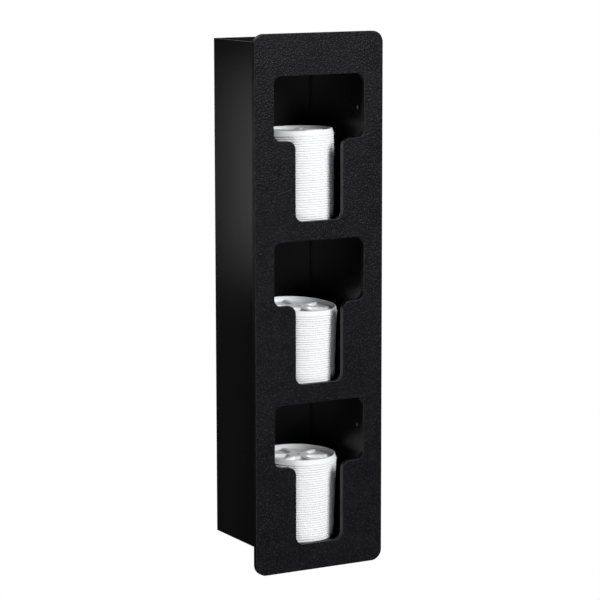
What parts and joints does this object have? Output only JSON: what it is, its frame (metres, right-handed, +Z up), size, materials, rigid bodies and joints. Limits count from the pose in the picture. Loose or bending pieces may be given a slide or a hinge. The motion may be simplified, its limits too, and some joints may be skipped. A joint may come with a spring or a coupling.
{
  "type": "built-in cup lid dispenser",
  "caption": "Tall narrow recess-mounted cup lid dispenser: a black faceplate with T-shaped apertures over a box housing with stacked compartments that hold nested white lids.",
  "frame": {"origin": "middle of the lower edge of the cabinet cut-out, in the plane of the cabinet's face: mid-width, where the housing's underside meets the faceplate's back", "axes": "+X to the right seen from the front, +Y into the cabinet, +Z up"},
  "size_m": [0.162, 0.1299, 0.603],
  "materials": {
    "textured_plate": "haircell texture, low sheen",
    "smooth_housing": "smooth satin sheet",
    "lid_plastic": "thin formed white plastic, semi-gloss"
  },
  "bodies": {
    "housing": {"faceplate": "textured_plate", "housing_wrap": "smooth_housing", "bottom_panel": "smooth_housing", "lower_shelf": "smooth_housing", "upper_shelf": "smooth_housing", "top_panel": "smooth_housing"},
    "lower_stack": {"lower_lid_stack": "lid_plastic"},
    "lower_lid": {"lower_top_lid": "lid_plastic"},
    "middle_stack": {"middle_lid_stack": "lid_plastic"},
    "middle_lid": {"middle_top_lid": "lid_plastic"},
    "upper_stack": {"upper_lid_stack": "lid_plastic"},
    "upper_lid": {"upper_top_lid": "lid_plastic"}
  },
  "joints": [
    {"name": "lower_stack_lift", "type": "slide", "parent": "housing", "child": "lower_stack", "axis": [0, 0, 1], "range_m": [0, 0.027]},
    {"name": "lower_lid_lift", "type": "slide", "parent": "lower_stack", "child": "lower_lid", "axis": [0, 0, 1], "range_m": [0, 0.055]},
    {"name": "middle_stack_lift", "type": "slide", "parent": "housing", "child": "middle_stack", "axis": [0, 0, 1], "range_m": [0, 0.03]},
    {"name": "middle_lid_lift", "type": "slide", "parent": "middle_stack", "child": "middle_lid", "axis": [0, 0, 1], "range_m": [0, 0.06]},
    {"name": "upper_stack_lift", "type": "slide", "parent": "housing", "child": "upper_stack", "axis": [0, 0, 1], "range_m": [0, 0.032]},
    {"name": "upper_lid_lift", "type": "slide", "parent": "upper_stack", "child": "upper_lid", "axis": [0, 0, 1], "range_m": [0, 0.062]}
  ]
}
